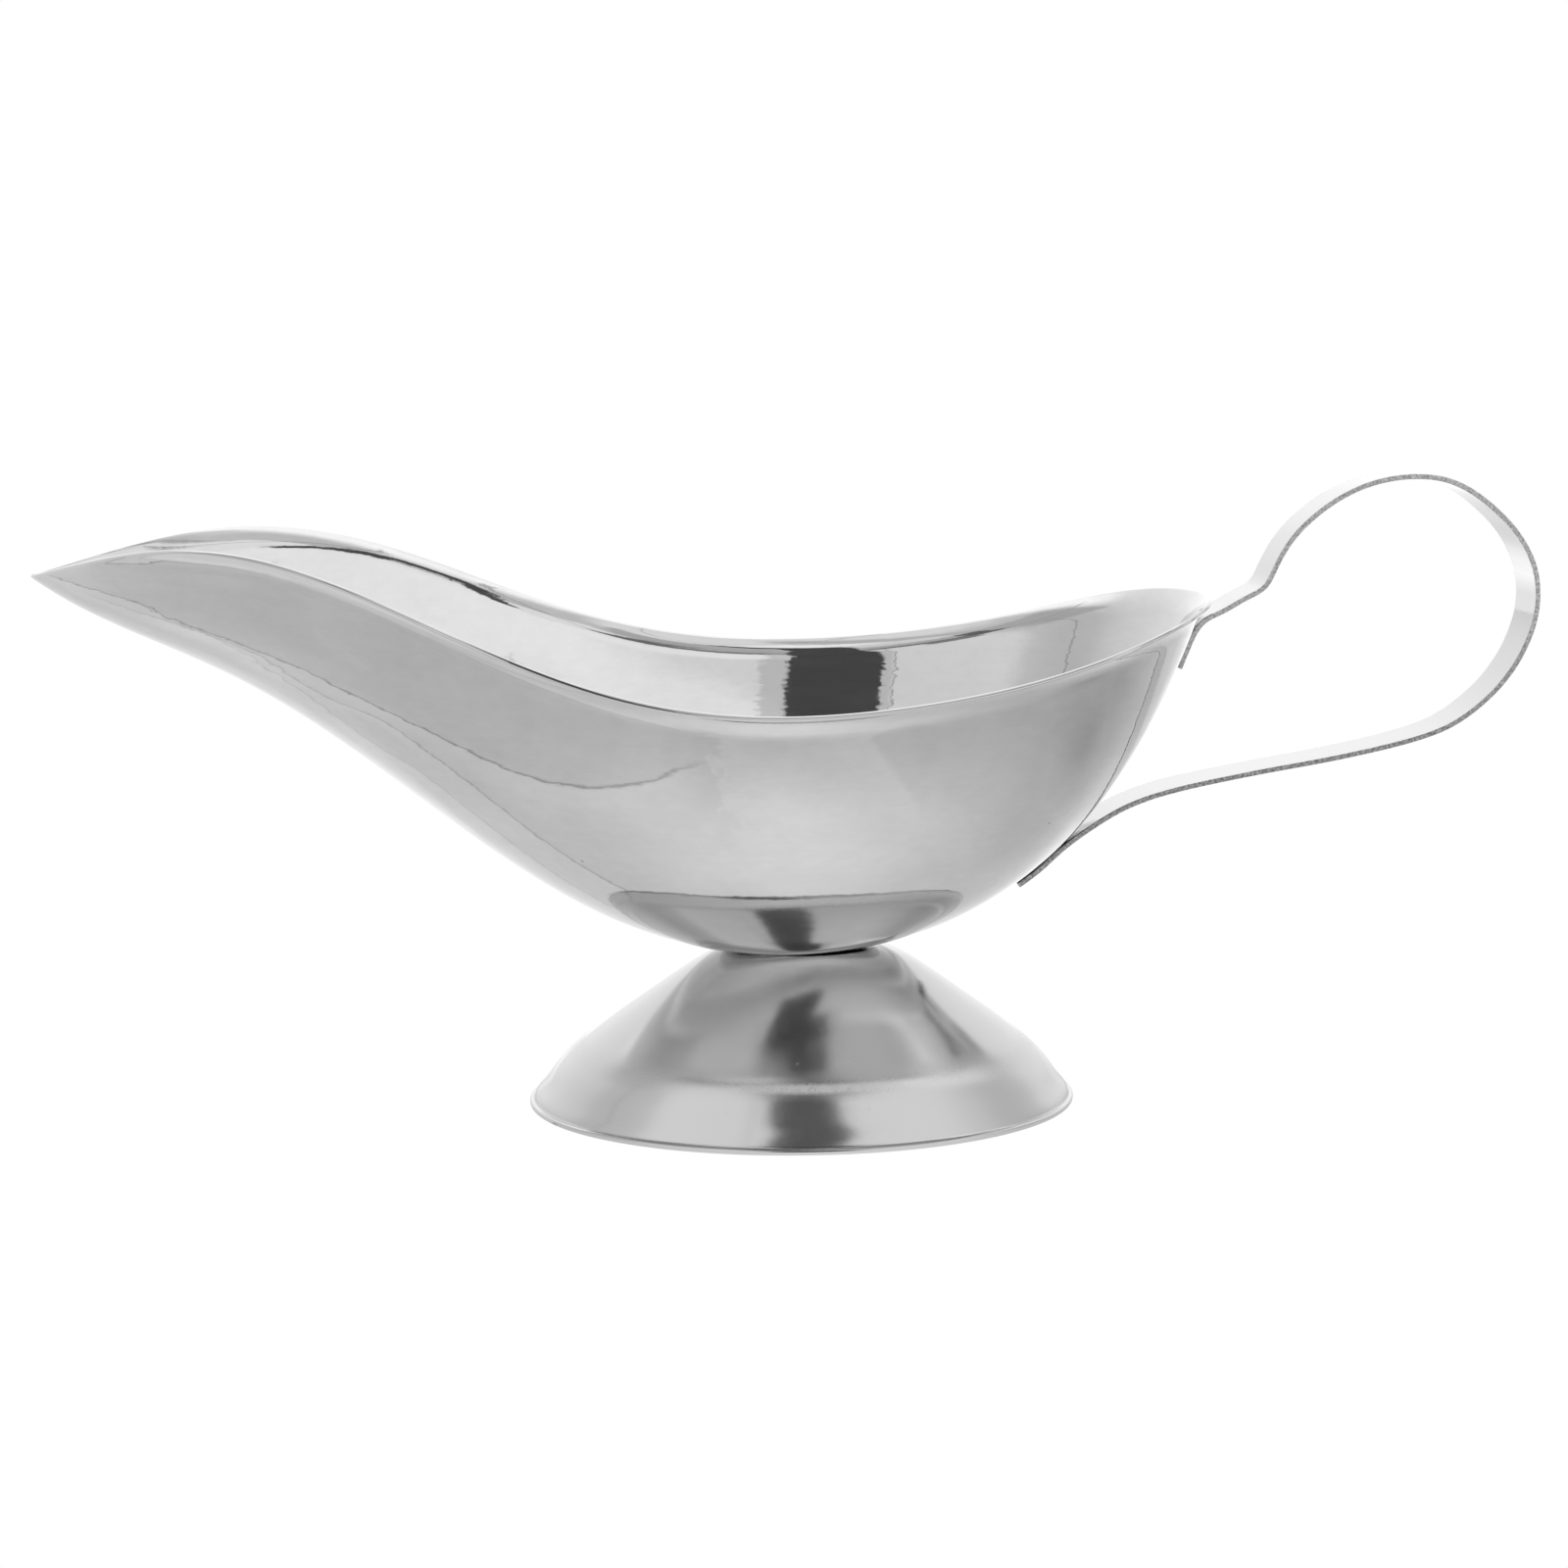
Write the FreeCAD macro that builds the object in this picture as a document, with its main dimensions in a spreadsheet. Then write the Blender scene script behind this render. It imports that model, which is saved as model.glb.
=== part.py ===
import FreeCAD, Part
import math
import os
import Sketcher
from FreeCAD import Placement, Rotation, Vector

# Footed sauce boat in stainless steel sheet, about 8 inches long: a pressed
# bowl on an oval pedestal foot, with a strap handle, all joined by spot welds.
# Frame: origin at the centre of the foot's resting plane, +Z up, +X towards
# the handle, so the pouring lip points along -X. The plane Y = 0 is the
# plane of symmetry. Millimetres throughout.

doc = FreeCAD.newDocument("SauceBoat")

# ---------------------------------------------------------------- sizes
# alias, value, note
SIZES = [
    # pressed bowl
    ("spout_tip_x", -102.17, "tip of the pouring lip, before the turned rim"),
    ("back_wall_x", 53.48, "back end of the bowl, before the turned rim"),
    ("bowl_gauge", 0.6, "sheet thickness of the bowl"),
    ("spout_round", 0.012, "rounding of the spout tip, share of the length"),
    ("section_full", 0.35, "extra fullness of the cross-sections"),
    ("rim_outset", 1.0, "how far the turned rim stands out"),
    ("rim_band", 3.0, "width of the turned rim, along the wall"),
    ("rim_start", 0.02, "where the rim starts to turn out, share of the length"),
    ("rim_fade", 0.16, "length over which it reaches its full outset, share"),
    ("seat_rise", 0.8, "rise of the pressed flat above the keel line"),
    ("seat_blend", 0.3, "half height of the blend round the flat"),
    ("seat_x", -2.0, "middle of the pressed flat"),
    ("seat_long", 6.4, "half length of the flat's middle disc"),
    ("seat_wide", 4.7, "half width of the flat's middle disc"),
    # oval pedestal foot
    ("foot_half_long", 38.29, "half length of the foot's flange"),
    ("foot_half_wide", 23.79, "half width of the foot's flange"),
    ("foot_drop", 0.9, "inner skin below outer skin, on the slope"),
    ("foot_inset", 0.15, "inner skin inside outer skin, level by level"),
    # strap handle
    ("strap_wide", 6.7, "width of the strap"),
    ("strap_gauge", 0.7, "thickness of the strap"),
    # spot welds
    ("weld_radius", 1.3, "radius of a spot-weld nugget"),
    ("handle_nugget_long", 0.8, "length of a handle nugget's blank"),
    ("handle_nugget_sink", 0.3, "depth of its start behind the bowl's outer skin"),
    ("seat_gap", 0.15, "gap held open by the foot's nuggets"),
    ("foot_nugget_extra", 0.1, "length of a foot nugget's blank beyond the gap"),
    ("foot_weld_long", 4.3, "foot nuggets fore and aft of the seat's middle"),
    ("foot_weld_wide", 3.0, "foot nuggets to each side of the seat's middle"),
]

# Bernstein coefficients along the bowl's length, spout to back.
CURVES = {
    "beam": [122.66, 129.8, 87.15, 162.98, 73.63, 83.12, 72.84, 90.51],
    "sheer": [73.37, 77.49, 80.25, 83.08, 75.11, 60.33, 54.21, 58.58, 61.41,
              58.9, 60.45, 68.4, 70.67],
    "depth": [165.4, 122.7, 103.5, 133.2, 150.9, 121.3, 159.2, 214.8, 171.9, 471.0],
}

# Oval stations of the foot's outer skin, bottom to top: height, half length,
# half width. The first is the flange's top face, the last the crown.
FOOT = [
    (0.8, 37.75, 23.10), (1.5, 37.45, 22.85), (2.3, 36.8, 22.60), (3.3, 35.95, 22.30),
    (4.8, 34.9, 21.75), (6.8, 33.15, 20.95), (8.4, 31.4, 20.12), (9.6, 30.0, 19.05),
    (12.4, 26.4, 16.40), (14.9, 22.9, 14.05), (17.4, 19.4, 11.70), (19.4, 16.5, 9.80),
    (20.9, 14.1, 8.40), (21.8, 12.2, 7.55), (22.38, 10.2, 6.85),
]

# Centre line of the strap in the plane of symmetry (x, z), from the end of
# the upper tab, over the loop, to the end of the lower tab.
STRAP_PATH = [
    (50.72, 61.20), (51.26, 62.65), (51.81, 64.10), (52.40, 65.55),
    (53.10, 66.80), (54.10, 67.80), (55.35, 68.50), (56.70, 69.15),
    (58.00, 69.90), (59.30, 70.65), (60.55, 71.30), (61.65, 71.95),
    (62.45, 72.80), (63.00, 73.85), (63.65, 75.35), (64.50, 77.05),
    (65.95, 79.25), (68.20, 81.60), (71.35, 84.00), (75.20, 85.95),
    (79.20, 87.02), (83.00, 87.30), (86.60, 86.85), (90.10, 85.45),
    (93.40, 83.20), (96.30, 80.60), (98.60, 77.65), (100.05, 74.70),
    (100.70, 71.60), (100.65, 68.30), (99.85, 65.05), (98.40, 61.80),
    (96.20, 58.60), (93.30, 55.70), (89.60, 53.10), (85.40, 51.40),
    (81.20, 50.25), (77.00, 49.30), (71.50, 48.20), (64.60, 47.00),
    (57.80, 45.72), (50.90, 44.22), (47.80, 43.35), (45.20, 42.40),
    (42.60, 41.15), (40.00, 39.55), (37.40, 37.75), (35.10, 35.92),
    (33.40, 34.33), (31.90, 32.97), (30.60, 31.95), (29.30, 31.00),
]
STRAP_STEPS = 150  # divisions of the strap's offset edges

# Heights of the nuggets on the back wall.
HANDLE_WELDS = {
    "upper_handle_spot_welds": (62.9, 66.2),
    "lower_handle_spot_welds": (32.6, 35.3),
}

# The bowl's skins are splined through a grid: columns round half the rim,
# and shares of the way from the seat (0) to the rim (1), closer at both ends.
COLUMNS = 56
SHARES = [0.0, 0.012, 0.028, 0.046, 0.066, 0.09, 0.12, 0.16, 0.21, 0.27, 0.34,
          0.41, 0.48, 0.55, 0.62, 0.69, 0.75, 0.8, 0.845, 0.882, 0.91, 0.932,
          0.95, 0.964, 0.976, 0.986, 0.994, 1.0]
GHOSTS = 4          # mirrored columns beyond each end of the grid
RAY_STEPS = 260     # divisions of a ray from seat to rim
RAY_CROWDING = 1.6  # above 1 packs a ray's points towards the rim
OUTLINE_STEP = 1e-4  # angle step for the outline's normal
ANGLE_STEP = 1e-3   # angle step for the skin's normal
SHARE_STEP = 1e-3   # share step for the skin's normal
SEW_TOLERANCE = 1e-4


def fill_sheet():
    rows = list(SIZES)
    for name, coefficients in CURVES.items():
        for k, value in enumerate(coefficients):
            rows.append((f"{name}_{k}", value, f"{name} coefficient"))
    for k, (height, half_long, half_wide) in enumerate(FOOT):
        rows.append((f"station_z_{k}", height, "height of a foot station"))
        rows.append((f"station_long_{k}", half_long, "half length of a foot station"))
        rows.append((f"station_wide_{k}", half_wide, "half width of a foot station"))
    sheet = doc.addObject("Spreadsheet::Sheet", "Sizes")
    for row, (alias, value, note) in enumerate(rows, start=1):
        sheet.set(f"A{row}", alias.replace("_", " "))
        sheet.set(f"B{row}", f"{value:.6g}")
        sheet.setAlias(f"B{row}", alias)
        sheet.set(f"C{row}", note)
    doc.recompute()
    return sheet


sizes = fill_sheet()


def size(alias):
    return float(getattr(sizes, alias))


def curve_sizes(name):
    return [size(f"{name}_{k}") for k in range(len(CURVES[name]))]


# ----------------------------------------------------- pressed bowl's form
# The share t runs along the bowl's length, 0 at the spout, 1 at the back.
TIP_X = size("spout_tip_x")
BACK_X = size("back_wall_x")
GAUGE = size("bowl_gauge")
SPOUT_ROUND = size("spout_round")
SECTION_FULL = size("section_full")
BLEND = size("seat_blend")
BEAM = curve_sizes("beam")
SHEER = curve_sizes("sheer")
DEPTH = curve_sizes("depth")


def bernstein(coefficients, t):
    n = len(coefficients) - 1
    return sum(c * math.comb(n, i) * t ** i * (1.0 - t) ** (n - i)
               for i, c in enumerate(coefficients))


def half_beam(t):
    return math.sqrt(max(t * (t + SPOUT_ROUND) * (1.0 - t), 0.0)) * bernstein(BEAM, t)


def keel_drop(t):
    """Depth of the keel line below the sheer."""
    return t * (1.0 - t) * bernstein(DEPTH, t)


# The keel line is lowest somewhere between 0.4 and 0.8 of the length.
KEEL_LOW = min(bernstein(SHEER, k / 1000.0) - keel_drop(k / 1000.0)
               for k in range(400, 800))
SEAT_Z = KEEL_LOW + size("seat_rise")


def skin_z(x, y):
    """Height of the bowl's outer skin, with the pressed flat at the bottom."""
    t = min(max((x - TIP_X) / (BACK_X - TIP_X), 0.0), 1.0)
    beam = half_beam(t)
    across = 0.0 if beam <= 1e-9 else min(abs(y) / beam, 1.0)
    power = 2.0 + SECTION_FULL * (1.0 - (2.0 * t - 1.0) ** 4)
    drop = keel_drop(t)
    rise = bernstein(SHEER, t) - drop + drop * across ** power - SEAT_Z
    if rise <= -BLEND:
        return SEAT_Z
    if rise < BLEND:
        return SEAT_Z + (rise + BLEND) ** 2 / (4.0 * BLEND)
    return SEAT_Z + rise


def smooth_step(u):
    u = min(max(u, 0.0), 1.0)
    return u * u * (3.0 - 2.0 * u)


def outline(angle):
    """Plan outline of the wall's top, angle 0 at the spout, pi at the back: x, y, t."""
    t = (1.0 - math.cos(angle)) / 2.0
    sine, cosine = math.sin(angle / 2.0), math.cos(angle / 2.0)
    # half_beam(t) in terms of the half angle, which stays smooth at the ends
    y = sine * math.sqrt(sine * sine + SPOUT_ROUND) * cosine * bernstein(BEAM, t)
    return TIP_X + (BACK_X - TIP_X) * t, y, t


def outline_normal(angle):
    """Outward unit normal of the outline in plan."""
    if angle < OUTLINE_STEP:
        return -1.0, 0.0
    if angle > math.pi - OUTLINE_STEP:
        return 1.0, 0.0
    xa, ya, _ = outline(angle - OUTLINE_STEP)
    xb, yb, _ = outline(angle + OUTLINE_STEP)
    chord = math.hypot(xb - xa, yb - ya)
    return -(yb - ya) / chord, (xb - xa) / chord


class Ray:
    """One line up the outer skin, straight in plan, from the seat to the rim."""

    def __init__(self, angle):
        rim_x, rim_y, t = outline(angle)
        seat_x = size("seat_x")
        dx, dy = rim_x - seat_x, rim_y
        scale = 1.0 / math.hypot(dx / size("seat_long"), dy / size("seat_wide"))
        start_x, start_y = seat_x + scale * dx, scale * dy
        self.points = []
        self.lengths = [0.0]  # arc length up to each point
        for i in range(RAY_STEPS + 1):
            u = 1.0 - (1.0 - i / RAY_STEPS) ** RAY_CROWDING
            x = start_x + (rim_x - start_x) * u
            y = start_y + (rim_y - start_y) * u
            self.points.append((x, y, skin_z(x, y)))
            if i:
                step = math.dist(self.points[-1], self.points[-2])
                self.lengths.append(self.lengths[-1] + step)
        self.normal = outline_normal(angle)
        turned = smooth_step((t - size("rim_start")) / size("rim_fade"))
        self.outset = size("rim_outset") * turned
        self.band = size("rim_band")

    def at(self, share):
        """Outer skin at a share of the ray's length, with the turned rim."""
        total = self.lengths[-1]
        length = share * total
        low, high = 0, len(self.lengths) - 1
        while high - low > 1:
            middle = (low + high) // 2
            if self.lengths[middle] <= length:
                low = middle
            else:
                high = middle
        gap = max(self.lengths[high] - self.lengths[low], 1e-12)
        part = (length - self.lengths[low]) / gap
        x, y, z = (a + part * (b - a)
                   for a, b in zip(self.points[low], self.points[high]))
        lip = self.outset * max(0.0, 1.0 - (total - length) / self.band) ** 2
        return Vector(x + lip * self.normal[0], y + lip * self.normal[1], z)

    def climb(self, share):
        """Vector up the ray, across the given share."""
        return self.at(min(share + SHARE_STEP, 1.0)) - self.at(share - SHARE_STEP)


def skin_columns(column):
    """Grid points of the outer and the inner skin along one ray."""
    angle = math.pi * column / COLUMNS
    on_symmetry = column in (0, COLUMNS)
    ray = Ray(angle)
    if on_symmetry:
        # the skin crosses the plane of symmetry squarely
        square = Vector(0, 1 if column == 0 else -1, 0)
    else:
        before, after = Ray(angle - ANGLE_STEP), Ray(angle + ANGLE_STEP)
    outer, inner = [], []
    for share in SHARES:
        point = ray.at(share)
        if share == 0.0:
            point.z = SEAT_Z
            normal = Vector(0, 0, 1)
        else:
            along = square if on_symmetry else after.at(share) - before.at(share)
            normal = ray.climb(share).cross(along)
            normal.normalize()
            if normal.z < 0:
                normal = -normal
        offset = point + normal * GAUGE
        if on_symmetry:
            point.y = 0.0
            offset.y = 0.0
        outer.append(point)
        inner.append(offset)
    return outer, inner


def spline(points, parameters):
    curve = Part.BSplineCurve()
    curve.interpolate(Points=points, Parameters=parameters)
    return curve


def skin_surface(grid):
    """One half of a skin as a bicubic spline through its grid of points.

    Mirrored columns beyond each end keep it smooth across the plane of
    symmetry; they are trimmed off again.
    """
    flipped = [[Vector(p.x, -p.y, p.z) for p in column] for column in grid]
    columns = ([flipped[k] for k in range(GHOSTS, 0, -1)] + grid
               + [flipped[-1 - k] for k in range(1, GHOSTS + 1)])
    step = math.pi / COLUMNS
    angles = [step * k for k in range(-GHOSTS, COLUMNS + GHOSTS + 1)]
    rows = [spline([column[j] for column in columns], angles)
            for j in range(len(SHARES))]
    ladders = [spline([row.getPole(k + 1) for row in rows], SHARES)
               for k in range(rows[0].NbPoles)]
    surface = Part.BSplineSurface()
    surface.buildFromPolesMultsKnots(
        [ladder.getPoles() for ladder in ladders],
        rows[0].getMultiplicities(), ladders[0].getMultiplicities(),
        rows[0].getKnots(), ladders[0].getKnots(), False, False, 3, 3)
    surface.segment(0.0, math.pi, 0.0, 1.0)
    return surface


def mirrored(shape):
    return shape.mirror(Vector(0, 0, 0), Vector(0, 1, 0))


def skin_borders(surface):
    """Edges of a half skin at the seat and at the rim."""
    _, _, seat, rim = surface.bounds()
    return surface.vIso(seat).toShape(), surface.vIso(rim).toShape()


def build_bowl():
    columns = [skin_columns(i) for i in range(COLUMNS + 1)]
    outer = skin_surface([column[0] for column in columns])
    inner = skin_surface([column[1] for column in columns])
    outer_seat, outer_rim = skin_borders(outer)
    inner_seat, inner_rim = skin_borders(inner)
    half = [outer.toShape(), inner.toShape(), Part.makeRuledSurface(outer_rim, inner_rim)]
    faces = half + [mirrored(face) for face in half]
    for edge in (outer_seat, inner_seat):
        ring = Part.Wire(Part.__sortEdges__([edge, mirrored(edge)]))
        faces.append(Part.Face(ring))
    shell = Part.makeShell(faces)
    shell.sewShape(SEW_TOLERANCE)
    # sewing may hand back a compound instead of a shell
    if shell.ShapeType != "Shell":
        shell = Part.Shell(shell.Faces)
    solid = Part.makeSolid(shell)
    if solid.Volume < 0:
        solid.reverse()
    bowl = doc.addObject("Part::Feature", "SauceBowl")
    bowl.Label = "sauce_bowl"
    bowl.Shape = solid
    return bowl


# ------------------------------------------------------------ pedestal foot
def oval(name, long_expr, wide_expr, z_expr):
    ring = doc.addObject("Part::Ellipse", name)
    # far apart, so the major radius stays the larger while they are bound
    ring.MajorRadius = 1000
    ring.MinorRadius = 1
    ring.setExpression("MajorRadius", long_expr)
    ring.setExpression("MinorRadius", wide_expr)
    ring.setExpression("Placement.Base.z", z_expr)
    return ring


def cone(side, inset="", drop=""):
    """Solid loft through the stations, each moved in and down as given."""
    rings = [oval(f"Foot{side}{k:02d}", f"Sizes.station_long_{k}{inset}",
                  f"Sizes.station_wide_{k}{inset}", f"Sizes.station_z_{k}{drop}")
             for k in range(len(FOOT))]
    loft = doc.addObject("Part::Loft", f"FootCone{side}")
    loft.Sections = rings
    loft.Solid = True
    loft.Ruled = False
    loft.MaxDegree = 5
    return loft


def build_foot():
    """Hollow oval cone with a closed crown and a narrow flange.

    The inner skin is the outer one moved down and in, so the sheet keeps
    near one gauge.
    """
    outer = cone("Outer")
    inner = cone("Inner", inset=" - Sizes.foot_inset", drop=" - Sizes.foot_drop")
    flange = doc.addObject("Part::Extrusion", "FootFlange")
    flange.Base = oval("FlangeRing", "Sizes.foot_half_long", "Sizes.foot_half_wide", "0")
    flange.Dir = Vector(0, 0, 1)
    flange.DirMode = "Custom"
    flange.Solid = True
    # the flange ends level with the lowest station
    flange.setExpression("LengthFwd", "Sizes.station_z_0")
    blank = doc.addObject("Part::Fuse", "FootBlank")
    blank.Base = outer
    blank.Tool = flange
    foot = doc.addObject("Part::Cut", "PedestalFoot")
    foot.Label = "pedestal_foot"
    foot.Base = blank
    foot.Tool = inner
    return foot


# ------------------------------------------------------------- strap handle
def offset_points(centre, distance):
    """Points beside the centre line, to its left where the distance is positive."""
    first, last = centre.FirstParameter, centre.LastParameter
    points = []
    for i in range(STRAP_STEPS + 1):
        parameter = first + (last - first) * i / STRAP_STEPS
        tangent = centre.tangent(parameter)[0]
        points.append(centre.value(parameter)
                      + Vector(-tangent.y, tangent.x, 0) * distance)
    return points


def build_strap():
    # sketch coordinates: x along X, y along Z
    centre = Part.BSplineCurve()
    centre.interpolate([Vector(x, z, 0) for x, z in STRAP_PATH])
    half_gauge = size("strap_gauge") / 2.0
    left = offset_points(centre, half_gauge)
    right = offset_points(centre, -half_gauge)

    strap = doc.addObject("PartDesign::Body", "StrapHandle")
    strap.Label = "strap_handle"
    profile = strap.newObject("Sketcher::SketchObject", "StrapProfile")
    plane = next(f for f in strap.Origin.OriginFeatures if f.Role == "XZ_Plane")
    profile.AttachmentSupport = [(plane, "")]
    profile.MapMode = "FlatFace"
    sides = []
    for points in (left, right):
        curve = Part.BSplineCurve()
        curve.interpolate(points)
        sides.append(profile.addGeometry(curve, False))
    caps = [profile.addGeometry(Part.LineSegment(left[i], right[i]), False)
            for i in (0, -1)]
    for side in sides:
        profile.addConstraint(Sketcher.Constraint("Block", side))
    # each cap joins the sides' starts (1) or their ends (2)
    for side_end, cap in enumerate(caps, start=1):
        for cap_end, side in enumerate(sides, start=1):
            profile.addConstraint(
                Sketcher.Constraint("Coincident", side, side_end, cap, cap_end))
    doc.recompute()
    band = strap.newObject("PartDesign::Pad", "StrapBand")
    band.Profile = profile
    band.SideType = "Symmetric"
    band.setExpression("Length", "Sizes.strap_wide")
    doc.recompute()
    return strap


# --------------------------------------------------------------- spot welds
# Nuggets of fused metal that hold each pair of sheets together.
def wall_at(height):
    """Outer skin on the back wall in the plane of symmetry, and its outward normal."""
    ray = Ray(math.pi)
    low, high = 0.0, 1.0
    for _ in range(60):
        middle = (low + high) / 2.0
        if ray.at(middle).z < height:
            low = middle
        else:
            high = middle
    up = ray.climb(low)
    up.normalize()
    return ray.at(low), Vector(up.z, 0, -up.x)


def nugget(name, point, axis, length_expr, sheets):
    """Cylinder from a point along an axis, trimmed back to the given sheets."""
    shape = doc.addObject("Part::Cylinder", f"{name}Blank")
    shape.setExpression("Radius", "Sizes.weld_radius")
    shape.setExpression("Height", length_expr)
    shape.Placement = Placement(point, Rotation(Vector(0, 0, 1), axis))
    for k, tool in enumerate(sheets):
        cut = doc.addObject("Part::Cut", f"{name}Trim{k}")
        cut.Base = shape
        cut.Tool = tool
        shape = cut
    return shape


def weld_group(name, label, nuggets):
    group = doc.addObject("Part::Compound", name)
    group.Label = label
    group.Links = nuggets
    return group


def build_handle_welds(label, heights, bowl, strap):
    name = "".join(word.capitalize() for word in label.split("_"))
    nuggets = []
    for k, height in enumerate(heights):
        point, normal = wall_at(height)
        start = point - normal * size("handle_nugget_sink")
        nuggets.append(nugget(f"{name}{k}", start, normal,
                              "Sizes.handle_nugget_long", (bowl, strap)))
    return weld_group(name, label, nuggets)


def build_foot_welds(bowl):
    fore_aft, side = size("foot_weld_long"), size("foot_weld_wide")
    crown_z = size(f"station_z_{len(FOOT) - 1}")
    nuggets = []
    for k, (dx, dy) in enumerate(((-fore_aft, 0), (fore_aft, 0), (0, side), (0, -side))):
        nuggets.append(nugget(f"FootSpotWeld{k}", Vector(size("seat_x") + dx, dy, crown_z),
                              Vector(0, 0, 1),
                              "Sizes.seat_gap + Sizes.foot_nugget_extra", (bowl,)))
    return weld_group("FootSpotWelds", "foot_spot_welds", nuggets)


# ------------------------------------------------------------ build, export
bowl = build_bowl()
foot = build_foot()
strap = build_strap()
nodes = [bowl, foot, strap]
for label, heights in HANDLE_WELDS.items():
    nodes.append(build_handle_welds(label, heights, bowl, strap))
nodes.append(build_foot_welds(bowl))
doc.recompute()

for obj in doc.Objects:
    if "Invalid" in obj.State or "Error" in obj.State:
        raise RuntimeError(f"{obj.Name} failed: {obj.State}")
for node in nodes:
    if node.Shape.isNull() or not node.Shape.isValid():
        raise RuntimeError(node.Label + " has no valid shape")
    if not node.Shape.Solids:
        raise RuntimeError(node.Label + " has no solid")

os.makedirs("parts", exist_ok=True)
for node in nodes:
    node.Shape.exportStep(os.path.join("parts", node.Label + ".step"))
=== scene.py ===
"""A polished steel sauce boat on a spun oval foot, with a bent strap handle.

The boat stands on z = 0 with its length along X: spout at -X, handle at +X.
The camera looks from -Y. Shapes are worked out in millimetres and built in
metres. Positions read inside the shaders are in metres unless scaled there.
"""
import math
from functools import reduce

import bpy
import numpy as np
from mathutils import Matrix


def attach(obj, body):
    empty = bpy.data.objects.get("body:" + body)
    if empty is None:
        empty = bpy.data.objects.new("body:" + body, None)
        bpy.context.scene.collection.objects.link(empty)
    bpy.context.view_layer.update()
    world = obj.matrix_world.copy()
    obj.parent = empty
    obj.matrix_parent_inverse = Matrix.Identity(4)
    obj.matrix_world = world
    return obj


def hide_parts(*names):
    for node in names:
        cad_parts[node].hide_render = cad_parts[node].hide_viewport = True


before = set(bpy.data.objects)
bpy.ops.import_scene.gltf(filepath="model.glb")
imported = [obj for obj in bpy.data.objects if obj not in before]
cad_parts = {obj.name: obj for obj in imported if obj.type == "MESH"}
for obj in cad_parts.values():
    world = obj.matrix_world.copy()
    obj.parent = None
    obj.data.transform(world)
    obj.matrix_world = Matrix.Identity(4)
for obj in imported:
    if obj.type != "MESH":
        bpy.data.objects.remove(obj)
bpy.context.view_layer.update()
MM = 0.001
rng = np.random.default_rng(11)


# =====================================================================
#  Mesh and curve helpers
# =====================================================================
def smooth(u):
    """Smoothstep from 0 at u = 0 to 1 at u = 1."""
    u = np.clip(u, 0.0, 1.0)
    return u * u * (3.0 - 2.0 * u)


def bernstein(coefs, t):
    degree = len(coefs) - 1
    total = np.zeros_like(t)
    for i, coef in enumerate(coefs):
        total = total + coef * math.comb(degree, i) * t ** i * (1.0 - t) ** (degree - i)
    return total


def unit(vectors):
    return vectors / np.linalg.norm(vectors, axis=-1, keepdims=True)


def make_mesh(name, verts, faces, smooth_faces=True):
    mesh = bpy.data.meshes.new(name)
    mesh.from_pydata([tuple(v) for v in verts], [], [tuple(int(i) for i in f) for f in faces])
    mesh.validate()
    mesh.update()
    if smooth_faces:
        mesh.polygons.foreach_set("use_smooth", [True] * len(mesh.polygons))
    ob = bpy.data.objects.new(name, mesh)
    bpy.context.scene.collection.objects.link(ob)
    return ob


def add_point_values(ob, name, values):
    ob.data.attributes.new(name, "FLOAT", "POINT").data.foreach_set("value", values)


def tube_faces(rings, count):
    """Quads joining a run of closed rings of count vertices each."""
    i = np.arange(count)
    j = (i + 1) % count
    quads = []
    for ring in range(rings - 1):
        here, there = ring * count, (ring + 1) * count
        quads.append(np.c_[here + i, here + j, there + j, there + i])
    return np.concatenate(quads)


def face_out(ob):
    """Flip the faces if the mesh encloses a negative volume."""
    mesh = ob.data
    mesh.calc_loop_triangles()
    points = np.empty(len(mesh.vertices) * 3)
    mesh.vertices.foreach_get("co", points)
    points = points.reshape(-1, 3)
    corners = np.empty(len(mesh.loop_triangles) * 3, int)
    mesh.loop_triangles.foreach_get("vertices", corners)
    a, b, c = (points[corners.reshape(-1, 3)[:, k]] for k in range(3))
    if np.einsum("ij,ij->i", a, np.cross(b, c)).sum() < 0:
        mesh.flip_normals()


def ring_solid(name, rings, centres, reverse=False):
    """A solid from rings [ring, around, xyz], a fan closing each end at its centre."""
    ring_count, count = rings.shape[:2]
    quads = tube_faces(ring_count, count)
    if reverse:
        quads = quads[:, ::-1]
    first_centre = ring_count * count
    last_ring = first_centre - count
    fans = []
    for i in range(count):
        a, b = (i + 1) % count, i
        if reverse:
            a, b = b, a
        fans.append((a, b, first_centre))
        fans.append((last_ring + b, last_ring + a, first_centre + 1))
    verts = np.r_[rings.reshape(-1, 3), centres]
    ob = make_mesh(name, verts * MM, [tuple(q) for q in quads] + fans)
    face_out(ob)
    return ob


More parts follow.
